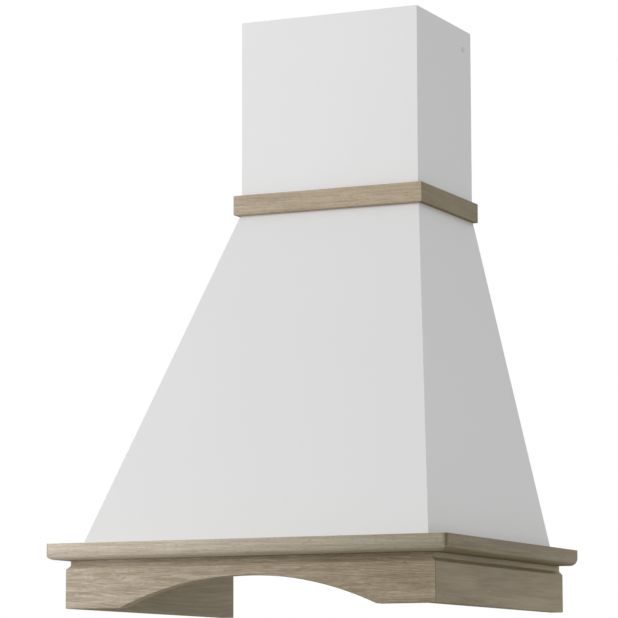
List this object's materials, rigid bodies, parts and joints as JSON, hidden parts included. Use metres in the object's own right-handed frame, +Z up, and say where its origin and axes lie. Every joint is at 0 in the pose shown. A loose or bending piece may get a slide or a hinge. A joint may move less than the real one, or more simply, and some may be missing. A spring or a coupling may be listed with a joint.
{
  "type": "range hood",
  "caption": "Wall-mounted chimney range hood: tapering white steel canopy and chimney, oak frame with an arched apron, blower, grease filters, lamps and push buttons inside.",
  "frame": {"origin": "middle of the four wall-fixing holes, on the wall face of the back plate", "axes": "+Z up, +Y out of the hood's back towards the wall, +X to the hood's right as it hangs and is seen from the front; the front faces -Y"},
  "size_m": [0.6, 0.51, 0.8729],
  "materials": {
    "oak": "weathered pale oak, matt",
    "pine": "planed softwood",
    "zinc_screws": "yellow zinc plate",
    "white_paint": "satin white powder coat",
    "galvanised": "galvanised steel sheet",
    "steel_screws": "bright zinc plate",
    "white_screws": "white painted head",
    "black_plastic": "black moulded plastic",
    "grey_plastic": "grey moulded plastic",
    "white_plastic": "white moulded plastic",
    "bright_steel": "ground steel",
    "motor_metal": "cast and turned aluminium",
    "flap_metal": "thin aluminium",
    "filter_aluminium": "satin anodised aluminium",
    "filter_mesh": "knitted aluminium",
    "satin_steel": "satin stainless steel",
    "frosted_glass": "frosted glass"
  },
  "bodies": {
    "hood": {"moulding_front": "oak", "moulding_left": "oak", "moulding_right": "oak", "apron_front": "oak", "apron_left": "oak", "apron_right": "oak", "corner_blocks": "pine", "frame_screws": "zinc_screws", "band_front": "oak", "band_left": "oak", "band_right": "oak", "canopy_shell": "white_paint", "back_plate": "galvanised", "motor_shelf": "galvanised", "sheet_rivets": "steel_screws", "underside_panel": "white_paint", "panel_screws": "steel_screws", "scroll_left_half": "grey_plastic", "scroll_right_half": "grey_plastic", "scroll_screws": "steel_screws", "inlet_grille": "black_plastic", "motor": "motor_metal", "motor_bracket": "galvanised", "motor_nuts": "steel_screws", "outlet_collar": "black_plastic", "collar_screws": "steel_screws", "capacitor": "white_plastic", "capacitor_strap": "galvanised", "junction_box": "grey_plastic", "junction_box_lid": "grey_plastic", "terminal_block": "white_plastic", "cable_gland": "black_plastic", "lamp_driver": "white_plastic", "electrical_screws": "steel_screws", "lamp_housings": "galvanised", "lamp_lenses": "frosted_glass", "lamp_bezels": "satin_steel", "control_box": "black_plastic", "control_bezel": "satin_steel"},
    "chimney": {"chimney_cover": "white_paint", "chimney_bracket": "galvanised", "chimney_screws": "white_screws"},
    "filter_left": {"filter_left_frame": "filter_aluminium", "filter_left_grilles": "filter_aluminium", "filter_left_mesh": "filter_mesh"},
    "filter_right": {"filter_right_frame": "filter_aluminium", "filter_right_grilles": "filter_aluminium", "filter_right_mesh": "filter_mesh"},
    "latch_left": {"filter_left_latch": "black_plastic"},
    "latch_right": {"filter_right_latch": "black_plastic"},
    "rotor": {"impeller": "galvanised", "impeller_shaft": "bright_steel"},
    "flap_left": {"damper_flap_left": "flap_metal"},
    "flap_right": {"damper_flap_right": "flap_metal"},
    "button_light": {"button_light": "satin_steel"},
    "button_off": {"button_off": "satin_steel"},
    "button_speed_1": {"button_speed_1": "satin_steel"},
    "button_speed_2": {"button_speed_2": "satin_steel"},
    "button_speed_3": {"button_speed_3": "satin_steel"}
  },
  "joints": [
    {"name": "chimney_height", "type": "slide", "parent": "hood", "child": "chimney", "axis": [0, 0, 1], "range_m": [-0.03, 0.1]},
    {"name": "filter_left_hinge", "type": "hinge", "parent": "hood", "child": "filter_left", "pos_m": [-0.117, -0.028, -0.3265], "axis": [1, 0, 0], "range_deg": [0, 60]},
    {"name": "filter_right_hinge", "type": "hinge", "parent": "hood", "child": "filter_right", "pos_m": [0.117, -0.028, -0.3265], "axis": [1, 0, 0], "range_deg": [0, 60]},
    {"name": "latch_left_slide", "type": "slide", "parent": "filter_left", "child": "latch_left", "axis": [0, 1, 0], "range_m": [0, 0.006], "stiffness_N_per_m": 300, "springref_m": -0.002},
    {"name": "latch_right_slide", "type": "slide", "parent": "filter_right", "child": "latch_right", "axis": [0, 1, 0], "range_m": [0, 0.006], "stiffness_N_per_m": 300, "springref_m": -0.002},
    {"name": "impeller_spin", "type": "hinge", "parent": "hood", "child": "rotor", "pos_m": [0, -0.16475, -0.1443], "axis": [1, 0, 0], "continuous": true},
    {"name": "flap_left_hinge", "type": "hinge", "parent": "hood", "child": "flap_left", "pos_m": [-0.006, -0.10575, 0.0507], "axis": [0, 1, 0], "range_deg": [0, 75]},
    {"name": "flap_right_hinge", "type": "hinge", "parent": "hood", "child": "flap_right", "pos_m": [0.006, -0.10575, 0.0507], "axis": [0, -1, 0], "range_deg": [0, 75]},
    {"name": "button_light_press", "type": "slide", "parent": "hood", "child": "button_light", "axis": [0, 0, 1], "range_m": [0, 0.0025], "stiffness_N_per_m": 400, "springref_m": -0.001},
    {"name": "button_off_press", "type": "slide", "parent": "hood", "child": "button_off", "axis": [0, 0, 1], "range_m": [0, 0.0025], "stiffness_N_per_m": 400, "springref_m": -0.001},
    {"name": "button_speed_1_press", "type": "slide", "parent": "hood", "child": "button_speed_1", "axis": [0, 0, 1], "range_m": [0, 0.0025], "stiffness_N_per_m": 400, "springref_m": -0.001},
    {"name": "button_speed_2_press", "type": "slide", "parent": "hood", "child": "button_speed_2", "axis": [0, 0, 1], "range_m": [0, 0.0025], "stiffness_N_per_m": 400, "springref_m": -0.001},
    {"name": "button_speed_3_press", "type": "slide", "parent": "hood", "child": "button_speed_3", "axis": [0, 0, 1], "range_m": [0, 0.0025], "stiffness_N_per_m": 400, "springref_m": -0.001}
  ]
}
